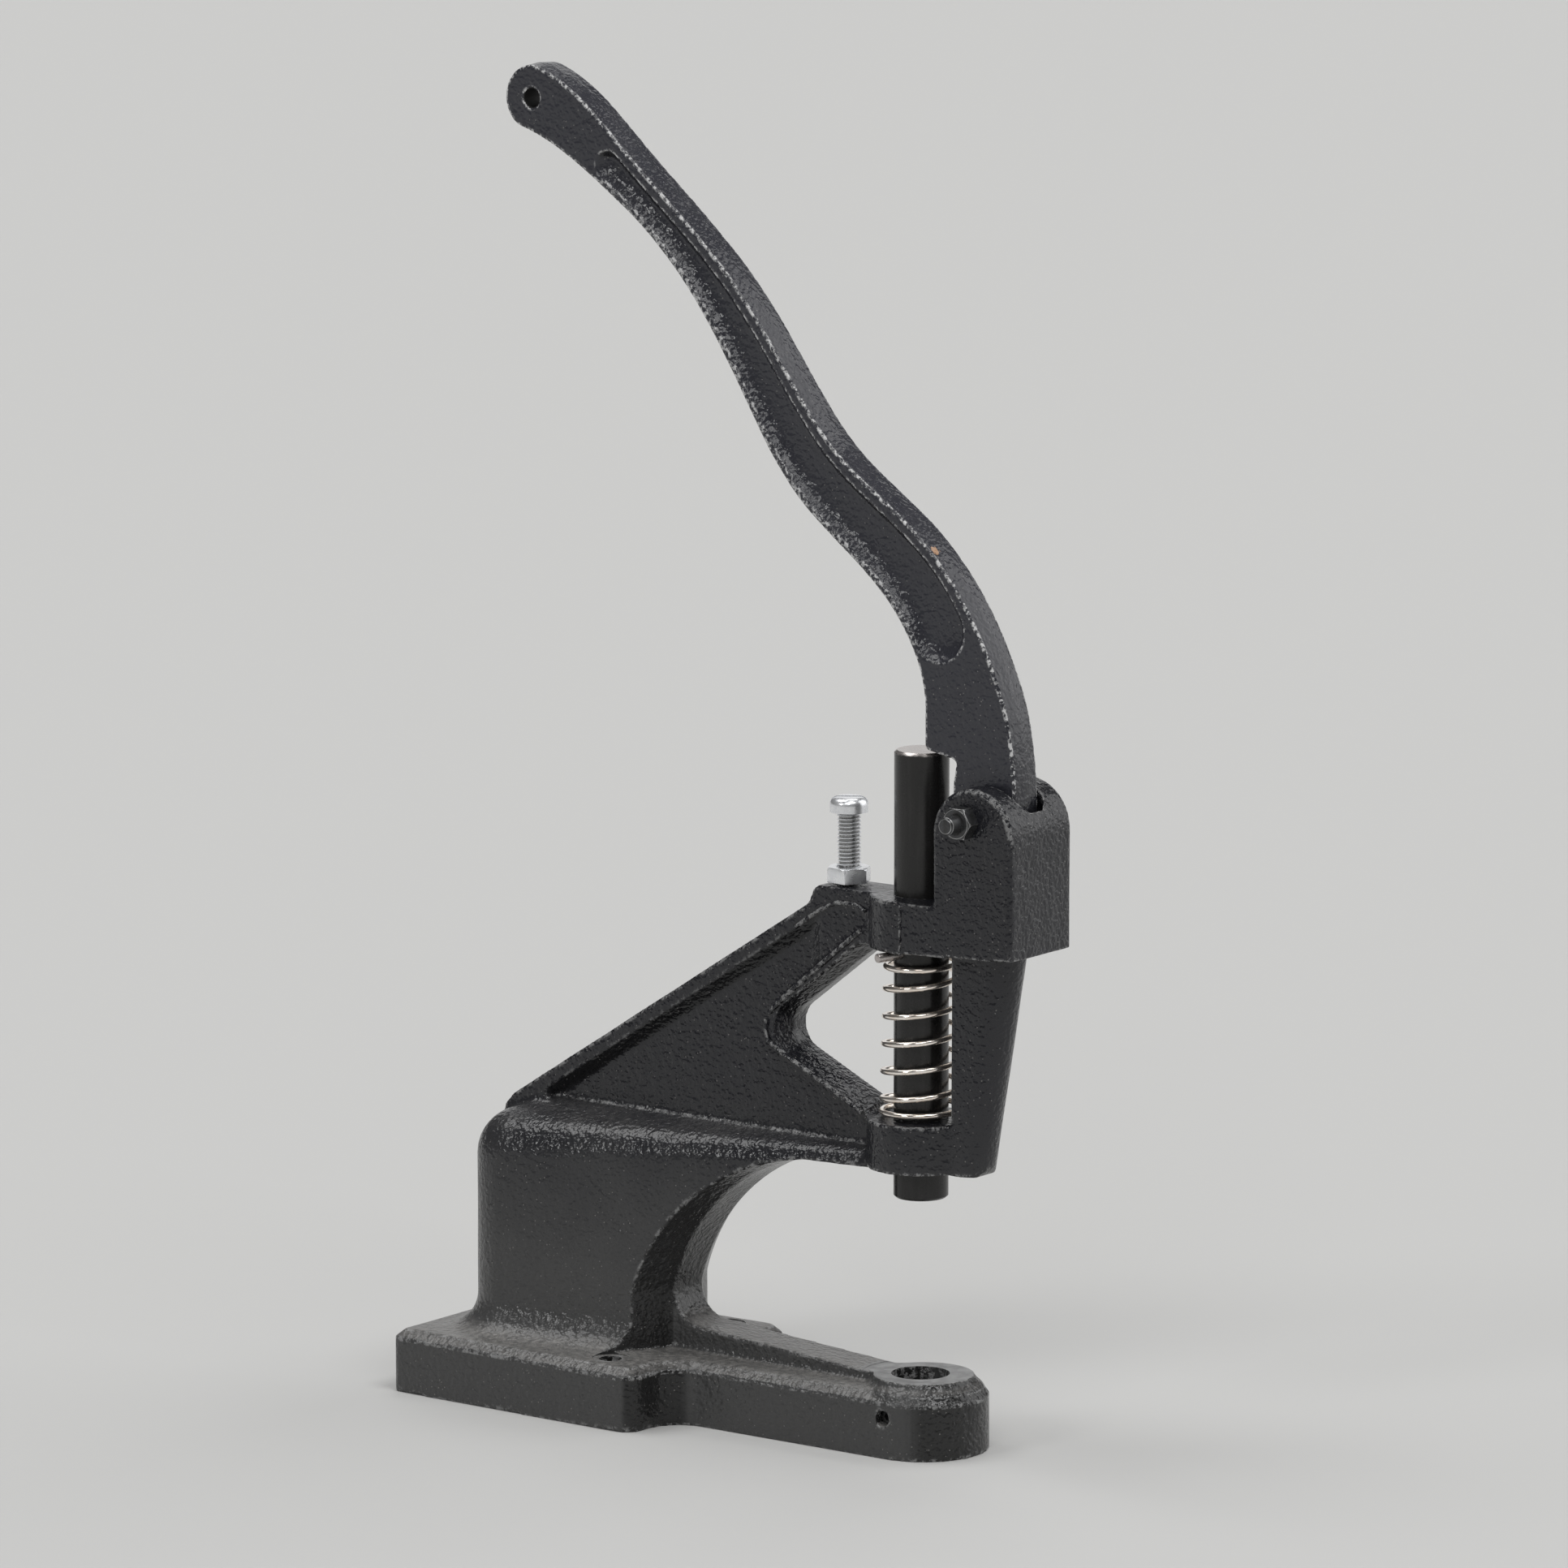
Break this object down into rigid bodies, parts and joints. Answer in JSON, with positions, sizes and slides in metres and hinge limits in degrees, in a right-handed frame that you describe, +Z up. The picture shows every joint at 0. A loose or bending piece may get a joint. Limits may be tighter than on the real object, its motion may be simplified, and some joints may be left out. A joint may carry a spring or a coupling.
{
  "type": "eyelet setting hand press",
  "caption": "Bench hand press with a cast frame, a sprung plunger over a die bore, and a long curved lever that pushes the plunger down",
  "frame": {"origin": "on the plunger's axis, at the underside of the base", "axes": "+X along the press from the base's rear towards its round front end, +Y across it, +Z up; the lever stands up and to the rear, as pictured"},
  "size_m": [0.2369, 0.0884, 0.4458],
  "materials": {
    "frame_paint": "black semi-gloss paint on rough sand casting",
    "lever_paint": "black semi-gloss paint on rough sand casting",
    "blackened_steel": "black oxide, satin",
    "pin_steel": "bare steel",
    "spring_wire": "bright nickel",
    "zinc_plate": "bright zinc"
  },
  "bodies": {
    "frame": {"press_frame": "frame_paint", "pivot_bolt": "blackened_steel", "pivot_nut": "blackened_steel", "return_spring": "spring_wire"},
    "lever": {"hand_lever": "lever_paint"},
    "plunger": {"plunger_rod": "blackened_steel", "spring_pin": "pin_steel"},
    "stop": {"stop_screw": "zinc_plate"},
    "lock_nut": {"stop_lock_nut": "zinc_plate"},
    "die_screw": {"die_set_screw": "blackened_steel"}
  },
  "joints": [
    {"name": "lever_pivot", "type": "hinge", "parent": "frame", "child": "lever", "pos_m": [0.0294, 0, 0.214], "axis": [0, -1, 0], "range_deg": [0, 60]},
    {"name": "plunger_slide", "type": "slide", "parent": "frame", "child": "plunger", "axis": [0, 0, -1], "range_m": [0, 0.0294], "stiffness_N_per_m": 2100, "springref_m": -0.016, "deforming": ["return_spring"]},
    {"name": "stop_screw_travel", "type": "slide", "parent": "frame", "child": "stop", "axis": [0, 0, -1], "range_m": [0, 0.006]},
    {"name": "lock_nut_travel", "type": "slide", "parent": "frame", "child": "lock_nut", "axis": [0, 0, 1], "range_m": [-0.0005, 0.01]},
    {"name": "die_screw_travel", "type": "slide", "parent": "frame", "child": "die_screw", "axis": [0, -1, 0], "range_m": [-0.0005, 0.003]}
  ],
  "couplings": [
    {"joint": "plunger_slide", "follows": "lever_pivot", "m_per_rad": 0.02803}
  ]
}
